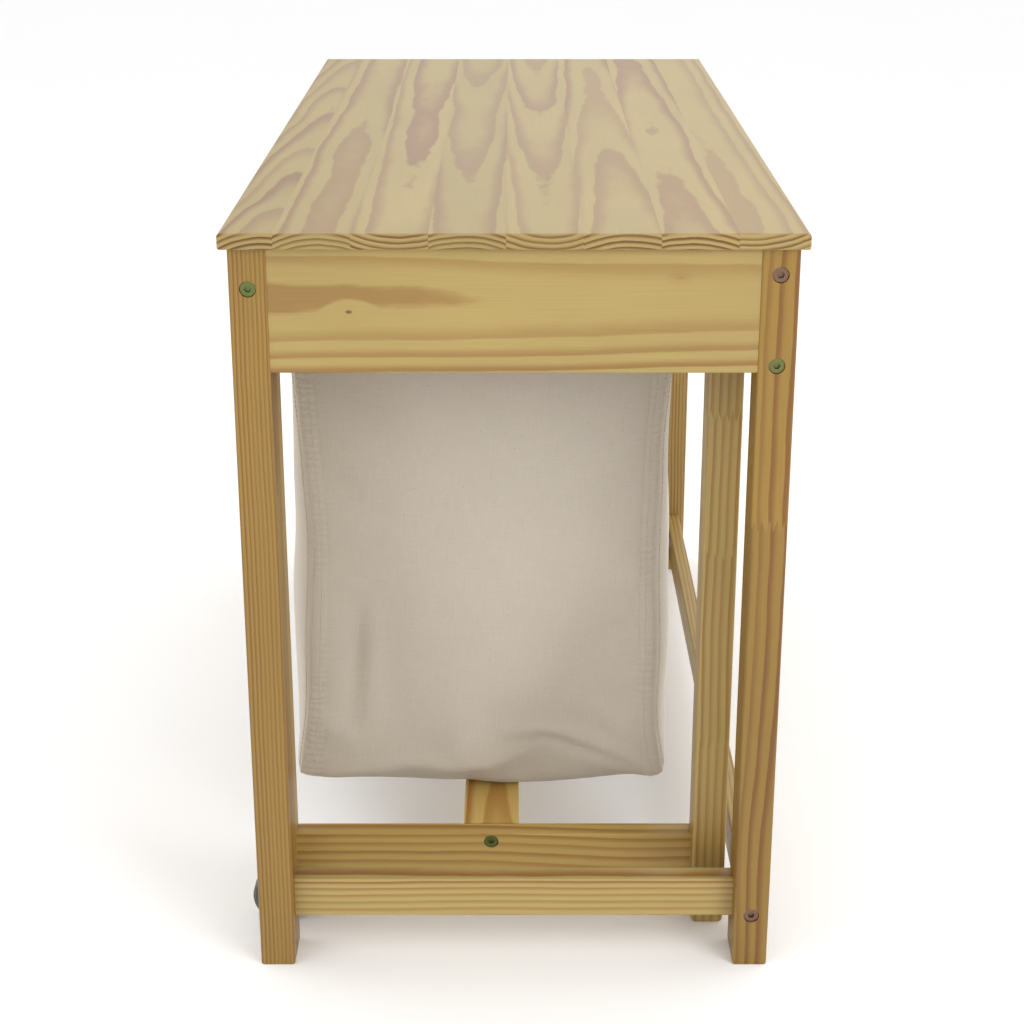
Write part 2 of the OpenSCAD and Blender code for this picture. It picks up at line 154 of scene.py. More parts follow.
class Finish:
    """One procedural material and its nodes."""

    def __init__(self, name):
        self.material = bpy.data.materials.new(name)
        self.material.use_nodes = True
        self.tree = self.material.node_tree
        self.tree.nodes.clear()

    def node(self, kind, settings=None, inputs=None, out=0):
        made = self.tree.nodes.new(kind)
        for key, value in (settings or {}).items():
            setattr(made, key, value)
        for key, value in (inputs or {}).items():
            if isinstance(value, Val):
                self.tree.links.new(value.socket, made.inputs[key])
            else:
                made.inputs[key].default_value = value
        return Val(self, made.outputs[out]) if made.outputs else None

    def place(self):
        """Object coordinates in millimetres, as three values."""
        point = self.node("ShaderNodeTexCoord", out=3)
        split = self.node("ShaderNodeSeparateXYZ", inputs={0: point})
        outs = split.socket.node.outputs
        return [Val(self, outs[i]) * 1000.0 for i in range(3)]

    def facing(self):
        """The surface's direction, as three values."""
        point = self.node("ShaderNodeTexCoord", out=1)
        split = self.node("ShaderNodeSeparateXYZ", inputs={0: point})
        outs = split.socket.node.outputs
        return [Val(self, outs[i]) for i in range(3)]

    def vector(self, x, y, z):
        return self.node("ShaderNodeCombineXYZ", inputs={0: x, 1: y, 2: z})

    def noise(self, x, y, z, scale=1.0, detail=2.0, rough=0.5):
        return self.node(
            "ShaderNodeTexNoise",
            {"noise_dimensions": "3D"},
            {
                "Vector": self.vector(x, y, z),
                "Scale": scale,
                "Detail": detail,
                "Roughness": rough,
            },
        )

    def chance(self, value):
        return self.node("ShaderNodeTexWhiteNoise", {"noise_dimensions": "1D"}, {"W": value})

    def blend(self, share, first, second, how="MIX"):
        made = self.tree.nodes.new("ShaderNodeMix")
        made.data_type, made.blend_type = "RGBA", how
        for index, value in ((0, share), (6, first), (7, second)):
            if isinstance(value, Val):
                self.tree.links.new(value.socket, made.inputs[index])
            else:
                made.inputs[index].default_value = value
        return Val(self, made.outputs[2])

    def grey(self, value):
        """A number as a colour, to multiply a colour by."""
        return self.node("ShaderNodeCombineColor", inputs={0: value, 1: value, 2: value})

    def surface(self, inputs, bump=None, strength=0.2, distance=0.0005):
        if bump is not None:
            inputs["Normal"] = self.node(
                "ShaderNodeBump",
                inputs={"Strength": strength, "Distance": distance, "Height": bump},
            )
        shader = self.node("ShaderNodeBsdfPrincipled", inputs=inputs)
        self.node("ShaderNodeOutputMaterial", inputs={0: shader})
        return self.material


# ---------------------------------------------------------------- mesh helpers


def deselect():
    if bpy.context.object and bpy.context.object.mode != "OBJECT":
        bpy.ops.object.mode_set(mode="OBJECT")
    bpy.ops.object.select_all(action="DESELECT")


def make_active(piece):
    deselect()
    piece.select_set(True)
    bpy.context.view_layer.objects.active = piece


def pick(piece, kind, test):
    """Selects, in edit mode, just the edges, faces or vertices that pass the test."""
    bpy.ops.mesh.select_mode(type={"edges": "EDGE", "faces": "FACE", "verts": "VERT"}[kind])
    bpy.ops.mesh.select_all(action="DESELECT")
    shape = bmesh.from_edit_mesh(piece.data)
    for part in getattr(shape, kind):
        if test(part):
            part.select_set(True)
    shape.select_flush_mode()
    bmesh.update_edit_mesh(piece.data)


def cut_along(piece, axis, number):
    """Divides every edge that runs along an axis into equal lengths."""
    pick(
        piece,
        "edges",
        lambda e: abs((e.verts[1].co - e.verts[0].co).normalized()[axis]) > 0.99,
    )
    bpy.ops.mesh.subdivide(number_cuts=number)


def repaint(node, material):
    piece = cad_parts[node]
    piece.data.materials.clear()
    piece.data.materials.append(material)


# ---------------------------------------------------------------- settings


class PineLooks(bpy.types.PropertyGroup):
    early: bpy.props.FloatVectorProperty(
        name="Early wood",
        description="Colour of the pale wood between the rings",
        subtype="COLOR",
        size=4,
        default=linear(177, 157, 98),
    )
    late: bpy.props.FloatVectorProperty(
        name="Late wood",
        description="Colour of the dark line of each ring",
        subtype="COLOR",
        size=4,
        default=linear(140, 93, 36),
    )
    knot: bpy.props.FloatVectorProperty(
        name="Knot",
        description="Colour at the heart of a knot",
        subtype="COLOR",
        size=4,
        default=linear(96, 58, 28),
    )


class CanvasLooks(bpy.types.PropertyGroup):
    colour: bpy.props.FloatVectorProperty(
        name="Canvas",
        description="Colour of the unbleached canvas",
        subtype="COLOR",
        size=4,
        default=linear(186, 177, 163),
    )
    thread: bpy.props.FloatVectorProperty(
        name="Thread",
        description="Colour of the sewing thread",
        subtype="COLOR",
        size=4,
        default=linear(192, 180, 158),
    )
    cloth: bpy.props.FloatProperty(
        name="Cloth",
        description="Thickness of the canvas",
        default=0.002,
        unit="LENGTH",
    )
    seam: bpy.props.FloatProperty(
        name="Seam width",
        description="Width of the folded seam down each corner",
        default=0.015,
        unit="LENGTH",
    )
    stitch: bpy.props.FloatProperty(
        name="Stitch length",
        description="Distance from one stitch to the next",
        default=0.005,
        unit="LENGTH",
    )
    belly: bpy.props.FloatProperty(
        name="Belly",
        description="How far the bag's narrow sides swell",
        default=0.020,
        unit="LENGTH",
    )


class StageLooks(bpy.types.PropertyGroup):
    floor: bpy.props.FloatVectorProperty(
        name="Floor",
        description="Colour of the floor",
        subtype="COLOR",
        size=4,
        default=(0.98, 0.98, 0.98, 1.0),
    )
    lens: bpy.props.FloatProperty(
        name="Lens",
        description="Focal length of the camera",
        default=66.8,
        unit="CAMERA",
    )
    pitch: bpy.props.FloatProperty(
        name="Pitch",
        description="How far the camera looks down",
        default=math.radians(18.68),
        unit="ROTATION",
    )
    ambient: bpy.props.FloatProperty(
        name="Ambient",
        description="Strength of the light from all round",
        default=1.0,
    )


# ---------------------------------------------------------------- pine


def pine(name, node, along, pith, ring=3.2, tone=1.0, seed=0.0, contrast=1.0,
         wander=9.0, slope=0.012, knots=(), joints=(), warm=0.0, ragged=1.7):
    """One board's own wood: yearly rings round a heart that lies off the board."""
    looks = bpy.context.scene.pine_looks
    finish = Finish(name)
    place, facing = finish.place(), finish.facing()
    lo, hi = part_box(node)
    mid = [(a + b) / 2 / MM for a, b in zip(lo, hi)]
    order = {"X": (0, 1, 2), "Y": (1, 0, 2), "Z": (2, 0, 1)}[along]
    run, across, depth = (place[i] - mid[i] for i in order)
    part = None
    for at in joints:
        # a finger joint: the board changes wood along a zigzag line
        step = (run + across.wave(3.5) * 3.4) > (at - mid[order[0]])
        part = step if part is None else part + step
    shift = 0.0
    if part is not None:
        luck = finish.chance(part + seed)
        shift = (luck - 0.5) * 34.0
        run = run + luck * 190.0
    bend = finish.noise(across * 0.005, depth * 0.005, run * 0.0030 + seed, detail=1.0)
    sway = finish.noise(across * 0.005 + 7.3, depth * 0.005, run * 0.0034 + seed * 1.7,
                        detail=1.0)
    u = across - pith[0] + (bend - 0.5) * (wander * 2.2) + shift
    v = depth - pith[1] + (sway - 0.5) * (wander * 1.6)
    swirl = None
    heart = None
    for spot, size, dark in knots:
        away = [place[i] - spot[i] for i in order]
        flat = ((away[0] * 0.55) * (away[0] * 0.55) + away[1] * away[1]
                + away[2] * away[2]).sqrt()
        pull = flat.ramp(0.0, size * 9.0, size * 1.5, 0.0)
        core = flat.ramp(size * 0.45, size * 1.2, dark, 0.0)
        swirl = pull if swirl is None else swirl + pull
        heart = core if heart is None else heart.most(core)
    radius = (u * u + v * v).sqrt() + run * slope
    if swirl is not None:
        radius = radius + swirl
    ripple = finish.noise(across * 0.045, depth * 0.045, run * 0.014 + seed, detail=3.0,
                          rough=0.6)
    phase = (radius + (ripple - 0.5) * ragged) / ring + seed * 3.1
    part_way = phase.fract()
    rise = part_way.ramp(0.30, 0.84)
    fall = part_way.ramp(0.90, 1.0, 1.0, 0.0)
    year = finish.chance(phase.floor() + seed)
    late = rise * fall * (year * 0.5 + 0.5) * contrast
    fibre = finish.noise(across * 0.9, depth * 0.9, run * 0.012 + seed, detail=3.0, rough=0.6)
    cloud = finish.noise(across * 0.012, depth * 0.012, run * 0.004 + seed * 2.3, detail=2.0)
    pore = finish.noise(across * 1.4, depth * 1.4, run * 0.05 + seed, detail=1.0)
    end = facing[order[0]].abs().ramp(0.5, 0.95)
    amount = (late * (end * 0.45 + 0.90)).least(1.0)
    early = [c * tone for c in looks.early[:3]] + [1.0]
    late_colour = [c * tone for c in looks.late[:3]] + [1.0]
    for shade in (early, late_colour):
        shade[2] *= 1.0 - warm
        shade[1] *= 1.0 - warm * 0.36
    colour = finish.blend(amount, early, late_colour)
    streak = (fibre - 0.5) * 0.28 + 1.0
    streak = streak * ((cloud - 0.5) * 0.26 + 1.0)
    streak = streak * pore.ramp(0.70, 0.80, 1.0, 0.86) * (1.0 - end * (amount * 0.30 + 0.10))
    colour = finish.blend(1.0, colour, finish.grey(streak), "MULTIPLY")
    if part is not None:
        tint = finish.chance(part * 3.7 + seed) * 0.14 + 0.92
        colour = finish.blend(1.0, colour, finish.grey(tint), "MULTIPLY")
    if heart is not None:
        colour = finish.blend(heart * 0.85, colour, tuple(looks.knot))
    height = amount * 0.5 + fibre * 0.5
    return finish.surface(
        {
            "Base Color": colour,
            "Roughness": 0.42 - amount * 0.07 + fibre * 0.08 + end * 0.12,
            "Specular IOR Level": 0.42,
            "Coat Weight": 0.12,
            "Coat Roughness": 0.32,
        },
        height,
        strength=0.16,
        distance=0.0004,
    )


# node: direction of the grain, heart off the board's middle, then what differs
TOP_STAVES = {
    "top_stave_1": dict(pith=(18, -76), ring=5.4, tone=0.84, seed=1.3, wander=7, slope=0.028),
    "top_stave_2": dict(pith=(5, -86), ring=5.2, tone=0.85, seed=2.9, wander=4, slope=0.003),
    "top_stave_3": dict(pith=(8, 112), ring=5.2, tone=0.87, seed=4.4, wander=4, slope=-0.006),
    "top_stave_4": dict(pith=(-4, -96), ring=5.0, tone=0.82, seed=5.7, wander=5, slope=-0.009),
    "top_stave_5": dict(pith=(4, 92), ring=5.4, tone=0.87, seed=7.2, wander=4, slope=-0.014),
    "top_stave_6": dict(pith=(6, -98), ring=5.4, tone=0.88, seed=8.6, wander=4, slope=0.012),
    "top_stave_7": dict(pith=(-8, -106), ring=5.4, tone=0.90, seed=9.4, wander=4, slope=0.008),
    "top_stave_8": dict(pith=(-22, 114), ring=5.2, tone=0.90, seed=10.8, wander=4, slope=0.004,
                        contrast=0.75),
}
TABLE_BOARDS = {
    "table_leg_front_right": ("Z", dict(pith=(72, -6), ring=3.9, tone=0.64, seed=11.2,
                                        wander=3, slope=0.0, warm=0.61, contrast=0.95)),
    "table_leg_back_right": ("Z", dict(pith=(34, 60), ring=5.6, tone=0.60, seed=12.5,
                                       wander=5, slope=0.006, joints=(478.0,), warm=0.67)),
    "table_leg_front_left": ("Z", dict(pith=(44, 20), ring=4.4, tone=0.80, seed=13.1,
                                       wander=4, slope=0.0, warm=0.30)),
    "table_leg_back_left": ("Z", dict(pith=(-38, -30), ring=4.6, tone=0.78, seed=14.8,
                                      wander=4, slope=0.0, joints=(300.0, 610.0), warm=0.30)),
    "end_apron_right": ("X", dict(pith=(70, 12), ring=8.2, tone=0.84, seed=15.9, wander=2,
                                  slope=0.010, warm=0.18, contrast=0.8,
                                  knots=(((-142.0, -516.0, 677.0), 1.9, 1.0),
                                         ((152.0, -516.0, 708.0), 1.1, 0.25)))),
    "end_apron_left": ("X", dict(pith=(-50, -30), ring=7.0, tone=0.93, seed=16.3, wander=12,
                                 slope=0.02, warm=0.08)),
    "front_top_rail": ("Y", dict(pith=(-44, 12), ring=6.0, tone=1.0, seed=17.9, wander=9,
                                 slope=0.01, warm=0.14)),
    "back_apron": ("Y", dict(pith=(48, -8), ring=6.6, tone=1.0, seed=18.4, wander=11,
                             slope=0.012, warm=0.12)),
    "back_low_rail": ("Y", dict(pith=(38, 6), ring=5.0, tone=0.94, seed=19.6, wander=7,
                                slope=0.006, warm=0.2)),
    "end_low_rail_right": ("X", dict(pith=(26, -64), ring=6.6, tone=0.92, seed=20.7, wander=4,
                                     slope=0.0, warm=0.14)),
    "end_low_rail_left": ("X", dict(pith=(14, 48), ring=5.6, tone=0.98, seed=21.2, wander=4,
                                    slope=0.0, warm=0.16)),
}
CART_BOARDS = {
    "cart_leg_front_right": ("Z", dict(pith=(40, -30), ring=5.0, tone=0.96, seed=22.4,
                                       wander=4, slope=0.0, warm=0.24)),
    "cart_leg_back_right": ("Z", dict(pith=(66, 8), ring=7.2, tone=0.95, seed=23.3, wander=5,
                                      slope=0.0, joints=(213.0, 419.0, 560.0), warm=0.22)),
    "cart_leg_front_left": ("Z", dict(pith=(-42, 24), ring=4.8, tone=0.96, seed=24.9,
                                      wander=4, slope=0.0, joints=(350.0,), warm=0.24)),
    "cart_leg_back_left": ("Z", dict(pith=(-30, 44), ring=5.0, tone=0.96, seed=25.6,
                                     wander=5, slope=0.0, warm=0.24)),
    "cart_low_rail_right": ("X", dict(pith=(-46, -52), ring=9.0, tone=1.06, seed=26.1,
                                      wander=9, slope=0.01, warm=0.28)),
    "cart_low_rail_left": ("X", dict(pith=(46, 14), ring=5.2, tone=1.0, seed=27.7,
                                     wander=6, slope=0.005, warm=0.2)),
    "cart_top_rail_right": ("X", dict(pith=(38, -18), ring=5.2, tone=1.0, seed=28.5,
                                      wander=6, slope=0.005, warm=0.2)),
    "cart_top_rail_left": ("X", dict(pith=(-40, 16), ring=5.4, tone=1.0, seed=29.8,
                                     wander=6, slope=0.005, warm=0.2)),
    "cart_front_rail": ("Y", dict(pith=(42, 10), ring=5.6, tone=1.0, seed=30.4, wander=8,
                                  slope=0.008, warm=0.2)),
    "cart_back_rail": ("Y", dict(pith=(-46, -8), ring=5.4, tone=1.0, seed=31.6, wander=8,
                                 slope=0.008, warm=0.2)),
    "centre_board": ("Y", dict(pith=(6, -52), ring=6.6, tone=1.38, seed=32.2, wander=7,
                               slope=0.01, warm=0.24)),
}


class SORTER_OT_tabletop(bpy.types.Operator):
    """Gives each stave of the tabletop its own piece of pine"""

    bl_idname = "sorter.tabletop"
    bl_label = "Tabletop staves"

    def execute(self, context):
        for node, looks in TOP_STAVES.items():
            repaint(node, pine(f"pine {node}", node, "Y", ragged=2.3, warm=0.12, **looks))
        return {"FINISHED"}


class SORTER_OT_table_frame(bpy.types.Operator):
    """Gives the table's legs, aprons and rails their wood"""

    bl_idname = "sorter.table_frame"
    bl_label = "Table frame"

    def execute(self, context):
        for node, (along, looks) in TABLE_BOARDS.items():
            repaint(node, pine(f"pine {node}", node, along, **looks))
        return {"FINISHED"}


class SORTER_OT_cart_frame(bpy.types.Operator):
    """Gives the cart's legs, rails and centre board their wood"""

    bl_idname = "sorter.cart_frame"
    bl_label = "Cart frame"

    def execute(self, context):
        for node, (along, looks) in CART_BOARDS.items():
            repaint(node, pine(f"pine {node}", node, along, **looks))
        return {"FINISHED"}


def turned_wood(name, along, colour):
    """Pale straight-grained hardwood, for rods and dowels."""
    finish = Finish(name)
    place, facing = finish.place(), finish.facing()
    run, across, depth = (place[i] for i in {"X": (0, 1, 2), "Z": (2, 0, 1)}[along])
    grain = finish.noise(across * 0.5, depth * 0.5, run * 0.008, detail=3.0, rough=0.6)
    fleck = finish.noise(across * 1.6, depth * 1.6, run * 0.11, detail=1.0)
    end = facing[{"X": 0, "Z": 2}[along]].abs().ramp(0.5, 0.95)
    tone = (grain - 0.5) * 0.34 + 1.0 - fleck.ramp(0.62, 0.72) * 0.14 - end * 0.16
    return finish.surface(
        {
            "Base Color": finish.blend(1.0, colour, finish.grey(tone), "MULTIPLY"),
            "Roughness": 0.5 + grain * 0.12,
            "Specular IOR Level": 0.4,
        },
        grain,
        strength=0.14,
        distance=0.0003,
    )


class SORTER_OT_rods(bpy.types.Operator):
    """Finishes the six bag rods and the hidden dowels"""

    bl_idname = "sorter.rods"
    bl_label = "Bag rods and dowels"

    def execute(self, context):
        beech = turned_wood("turned rod wood", "X", linear(186, 160, 108))
        for number in range(1, 7):
            repaint(f"bag_rod_{number}", beech)
        peg = turned_wood("dowel wood", "X", linear(180, 154, 104))
        for node in ("top_dowels", "frame_dowels", "cart_dowels"):
            repaint(node, peg)
        return {"FINISHED"}


# ---------------------------------------------------------------- hardware


def plated(name, base, tint, rough=0.34, faded=()):
    """Passivated zinc plate, whose colour drifts from one tint to another."""
    finish = Finish(name)
    x, y, z = finish.place()
    drift = finish.noise(x * 0.09, y * 0.09, z * 0.012, detail=2.0).ramp(0.46, 0.66) * 0.35
    for height in faded:
        near = (z - height).abs().ramp(*HEAD_REACH, 1.0, 0.0) * (x > 0.0)
        drift = drift.most(near * FADED_SHARE)
    scuff = finish.noise(x * 0.9, y * 0.9, z * 0.9, detail=4.0, rough=0.65)
    colour = finish.blend(drift, base, tint)
    dull = scuff.ramp(0.45, 0.75)
    colour = finish.blend(dull * 0.35, colour, linear(62, 56, 42))
    return finish.surface(
        {
            "Base Color": colour,
            "Metallic": 1.0 - dull * 0.35,
            "Roughness": rough + scuff * 0.22,
        },
        scuff,
        strength=0.10,
        distance=0.0002,
    )


# heights in mm of the heads at the back that have lost their green, and how far the fading reaches
FADED_HEADS = (711.0, 56.0)
HEAD_REACH = (14.0, 18.0)
FADED_SHARE = 0.9


class SORTER_OT_hardware(bpy.types.Operator):
    """Finishes the bolts, barrel nuts, screws, axles, washers and nuts"""

    bl_idname = "sorter.hardware"
    bl_label = "Bolts, nuts and screws"

    def execute(self, context):
        brassy = plated("yellow zinc plate", linear(112, 124, 72), linear(130, 100, 86),
                        faded=FADED_HEADS)
        bright = plated("bright zinc plate", linear(190, 190, 186), linear(172, 174, 176), 0.28)
        for node in ("frame_bolts", "cart_bolts", "board_screws"):
            repaint(node, brassy)
        for node in ("frame_barrel_nuts", "cart_barrel_nuts", "axle_bolts", "axle_washers",
                     "axle_nuts"):
            repaint(node, bright)
        return {"FINISHED"}


def moulded(name, colour, worn, rough):
    """Moulded plastic or rubber with a fine grain and a scuffed tread."""
    finish = Finish(name)
    x, y, z = finish.place()
    grain = finish.noise(x * 1.8, y * 1.8, z * 1.8, detail=3.0, rough=0.6)
    smear = finish.noise(x * 0.11, y * 0.05, z * 0.11, detail=2.0)
    share = smear.ramp(0.40, 0.72) * 0.6
    return finish.surface(
        {
            "Base Color": finish.blend(share, colour, worn),
            "Roughness": rough + grain * 0.14,
            "Specular IOR Level": 0.45,
        },
        grain,
        strength=0.18,
        distance=0.0002,
    )


class SORTER_OT_wheels(bpy.types.Operator):
    """Finishes the two wheels"""

    bl_idname = "sorter.wheels"
    bl_label = "Wheels"

    def execute(self, context):
        tyre = moulded("grey tyre rubber", linear(84, 80, 79), linear(106, 102, 99), 0.5)
        hub = moulded("dark hub plastic", linear(62, 60, 62), linear(82, 80, 80), 0.4)
        for side in ("right", "left"):
            repaint(f"wheel_{side}_tyre", tyre)
            repaint(f"wheel_{side}_hub", hub)
        return {"FINISHED"}


# ---------------------------------------------------------------- bags


def canvas():
    """Unbleached plain-weave canvas that follows the cloth."""
    looks = bpy.context.scene.canvas_looks
    finish = Finish("unbleached canvas")
    point = finish.node("ShaderNodeUVMap", {"uv_map": "cut"})
    split = finish.node("ShaderNodeSeparateXYZ", inputs={0: point})
    outs = split.socket.node.outputs
    u, v = Val(finish, outs[0]) * 1000.0, Val(finish, outs[1]) * 1000.0
    warp = finish.noise(u * 1.15, v * 0.035, 0.0, detail=2.0, rough=0.6)
    weft = finish.noise(u * 0.035, v * 1.15, 5.0, detail=2.0, rough=0.6)
    over = (u * (math.tau / 1.1)).sine() * (v * (math.tau / 1.1)).sine()
    slub = finish.noise(u * 0.16, v * 1.3, 9.0, detail=1.0).ramp(0.70, 0.80)
    fleck = finish.noise(u * 0.45, v * 0.45, 3.0, detail=0.0).ramp(0.76, 0.83)
    cloud = finish.noise(u * 0.006, v * 0.006, 2.0, detail=3.0)
    tone = (warp - 0.5) * 0.18 + (weft - 0.5) * 0.18 + (cloud - 0.5) * 0.12 + 1.0
    # the cloth draws up in short puckers between the two lines of each corner seam; they are a
    # bump, and the same pattern is also painted shade in the colour, darker in the grooves and
    # lighter on the ridges
    lo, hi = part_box("bag_right")
    edge = ((u - lo.x / MM).abs()).least((u - hi.x / MM).abs())
    band = edge.ramp(1.0, 5.0) * edge.ramp(12.0, 26.0, 1.0, 0.0)
    drawn = finish.noise(u * 0.012, v * 0.010, 4.0, detail=1.0).ramp(0.38, 0.60)
    wander = finish.noise(u * 0.05, v * 0.10, 6.0, detail=2.0)
    pucker_and_shade = (v * (math.tau / 7.5) + wander * 9.0 + edge * 0.10).sine() * band * drawn
    # painted shade: the pucker pattern darkens the colour in its grooves and lightens it on its
    # ridges
    tone = tone + over * 0.02 - slub * 0.05 + pucker_and_shade * 0.045
    colour = finish.blend(1.0, tuple(looks.colour), finish.grey(tone), "MULTIPLY")
    colour = finish.blend(fleck * 0.40, colour, linear(140, 118, 90))
    height = over * 0.25 + warp * 0.6 + weft * 0.6 + slub * 0.3 + pucker_and_shade * 1.6
    return finish.surface(
        {
            "Base Color": colour,
            "Roughness": 0.88 + (warp - 0.5) * 0.08,
            "Specular IOR Level": 0.18,
            "Sheen Weight": 0.18,
            "Sheen Roughness": 0.55,
        },
        height,
        strength=0.32,
        distance=0.0005,
    )


def thread_finish():
    looks = bpy.context.scene.canvas_looks
    finish = Finish("sewing thread")
    x, y, z = finish.place()
    ply = finish.noise(x * 2.5, y * 2.5, z * 2.5, detail=2.0)
    tone = (ply - 0.5) * 0.25 + 1.0
    return finish.surface(
        {
            "Base Color": finish.blend(1.0, tuple(looks.thread), finish.grey(tone), "MULTIPLY"),
            "Roughness": 0.75,
            "Specular IOR Level": 0.25,
        },
        ply,
        strength=0.2,
        distance=0.0003,
    )


X_CUTS, Y_CUTS, Z_CUTS = 31, 19, 39
SLEEVE_STEPS = 12


def bag_blank(name, node, rod):
    """An open tub of cloth with a sleeve rolled over the rod at each long side."""
    looks = bpy.context.scene.canvas_looks
    lo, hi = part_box(node)
    rod_lo, rod_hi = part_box(rod)
    half = looks.cloth / 2
    rod_z = (rod_lo.z + rod_hi.z) / 2
    sleeve_r = hi.z - rod_z - half
    rim = rod_z - 0.0201
    mid_y = (lo.y + hi.y) / 2
    size = Vector((hi.x - lo.x - 2 * half, hi.y - lo.y - 2 * half, rim - lo.z - half))
    centre = Vector(((lo.x + hi.x) / 2, mid_y, (rim + lo.z + half) / 2))
    deselect()
    bpy.ops.mesh.primitive_cube_add(size=1, location=centre, scale=size)
    piece = bpy.context.object
    piece.name = name
    bpy.ops.object.transform_apply(location=True, rotation=True, scale=True)
    bpy.ops.object.mode_set(mode="EDIT")
    pick(piece, "faces", lambda f: f.normal.z > 0.9)
    bpy.ops.mesh.delete(type="ONLY_FACE")
    cut_along(piece, 0, X_CUTS)
    cut_along(piece, 1, Y_CUTS)
    cut_along(piece, 2, Z_CUTS)
    bpy.ops.object.mode_set(mode="OBJECT")
    # where each point lies on the flat cloth, kept through every later step
    flat = piece.data.attributes.new("flat", "FLOAT_VECTOR", "POINT")
    for point in piece.data.vertices:
        flat.data[point.index].vector = point.co
    wall = size.y / 2
    for side in (-1, 1):
        path = [(side * wall, rim + 0.010), (side * wall, rod_z)]
        for step in range(1, SLEEVE_STEPS + 1):
            turn = math.radians(205) * step / SLEEVE_STEPS
            path.append((side * (wall - sleeve_r + sleeve_r * math.cos(turn)),
                         rod_z + sleeve_r * math.sin(turn)))
        path += [(side * (wall - 0.0085), rod_z - 0.0150), (side * (wall - 0.0026), rod_z - 0.0230),
                 (side * (wall - 0.0022), rod_z - 0.0310), (side * (wall - 0.0022), rod_z - 0.0390)]
        bpy.ops.object.mode_set(mode="EDIT")
        pick(piece, "edges", lambda e: all(abs(v.co.z - rim) < 1e-5
             and abs(v.co.y - mid_y - side * wall) < 1e-5 for v in e.verts))
        y, z, run = side * wall, rim, rim
        for to_y, to_z in path:
            bpy.ops.mesh.extrude_region_move(
                TRANSFORM_OT_translate={"value": (0.0, to_y - y, to_z - z)})
            run += math.hypot(to_y - y, to_z - z)
            shape = bmesh.from_edit_mesh(piece.data)
            layer = shape.verts.layers.float_vector["flat"]
            for v in shape.verts:
                if v.select:
                    v[layer] = (v.co.x, mid_y + side * wall, run)
            bmesh.update_edit_mesh(piece.data)
            y, z = to_y, to_z
        bpy.ops.object.mode_set(mode="OBJECT")
    cut_map(piece)
    piece["rim"], piece["mid_y"], piece["wall"] = rim, mid_y, wall
    return piece


def cut_map(piece):
    """Lays every face out flat, in metres, as the cloth was cut."""
    mesh = piece.data
    while mesh.uv_layers:
        mesh.uv_layers.remove(mesh.uv_layers[0])
    layer = mesh.uv_layers.new(name="cut")
    flat = mesh.attributes["flat"].data
    for face in mesh.polygons:
        points = [flat[i].vector for i in face.vertices]
        spread = [max(p[a] for p in points) - min(p[a] for p in points) for a in range(3)]
        thin = spread.index(min(spread))
        a, b = {0: (1, 2), 1: (0, 2), 2: (0, 1)}[thin]
        for loop, p in zip(face.loop_indices, points):
            layer.data[loop].uv = (p[a], p[b])


def slacken(piece, node, seed):
    """Swells the narrow sides, lets the bottom edge wander and pulls in the corners."""
    looks = bpy.context.scene.canvas_looks
    lo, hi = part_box(node)
    mid = (lo + hi) / 2
    rim, wall = piece["rim"], piece["wall"]
    tall = rim - lo.z
    half_x = (hi.x - lo.x) / 2
    for point in piece.data.vertices:
        co = point.co
        if co.z > rim - 1e-4:
            continue
        up = (co.z - lo.z) / tall
        s = (co.x - mid.x) / half_x
        t = (co.y - mid.y) / wall
        gate = min(1.0, (rim - co.z) / 0.09)
        gate = gate * gate * (3 - 2 * gate)
        swell = max(0.0, 1 - t * t) * gate * (0.45 + 0.55 * math.sin(math.pi * min(1, 0.25 + up)))
        side = abs(s) ** 6
        co.x += math.copysign(1, s) * looks.belly * swell * side
        pull = math.sin(math.pi * min(1.0, max(0.0, (up - 0.08) / 0.92))) ** 1.3
        co.x -= math.copysign(1, s) * 0.013 * pull * abs(s) ** 3 * abs(t) ** 8
        round_low = max(0.0, 1 - up / 0.10)
        co.y += math.copysign(1, t) * 0.0025 * math.sin(math.pi * up) * abs(t) ** 8 * (1 - s * s)
        edge = max(abs(s) ** 8, abs(t) ** 8)
        lift = 0.004 * math.sin(3.1 * s + 1.1 * t + seed) + 0.0022 * math.sin(8.3 * s - seed)
        co.z += (lift + 0.003) * round_low * edge
        co.z -= 0.006 * round_low * (1 - s * s) * (1 - t * t)
        away = Vector((co.x * 14, co.y * 14, co.z * 9 + seed))
        rough = noise.noise(away) * 0.0022 * gate
        if abs(t) > 0.999:
            co.y += rough * math.copysign(1, t)
        if abs(s) > 0.93:
            co.x += rough * 1.6 * math.copysign(1, s)


def hang(piece):
    """Lets the cloth hang from its sleeves in a short cloth simulation."""
    rim = piece["rim"]
    group = piece.vertex_groups.new(name="sewn")
    flat = piece.data.attributes["flat"].data
    mid_y, wall = piece["mid_y"], piece["wall"]
    held = [v.index for v in piece.data.vertices
            if flat[v.index].vector.z > rim - 0.004
            and abs(abs(flat[v.index].vector.y - mid_y) - wall) < 1e-4]
    group.add(held, 1.0, "REPLACE")
    make_active(piece)
    cloth = piece.modifiers.new("hang", "CLOTH")
    setting = cloth.settings
    setting.quality = 6
    setting.mass = 0.35
    setting.air_damping = 4.0
    setting.tension_stiffness = setting.compression_stiffness = 40
    setting.shear_stiffness = 25
    setting.bending_stiffness = 6.0
    setting.tension_damping = setting.compression_damping = 20
    setting.vertex_group_mass = "sewn"
    setting.use_pressure = True
    setting.uniform_pressure_force = 0.35
    setting.effector_weights.gravity = 0.25
    cloth.collision_settings.use_collision = False
    cloth.collision_settings.use_self_collision = False
    scene = bpy.context.scene
    cloth.point_cache.frame_start, cloth.point_cache.frame_end = 1, 24
    for number in range(1, 19):
        scene.frame_set(number)
    bpy.ops.object.modifier_apply(modifier="hang")
    scene.frame_set(1)


def finer(piece):
    smooth = piece.modifiers.new("finer", "SUBSURF")
    smooth.levels = smooth.render_levels = 1
    make_active(piece)
    bpy.ops.object.modifier_apply(modifier="finer")


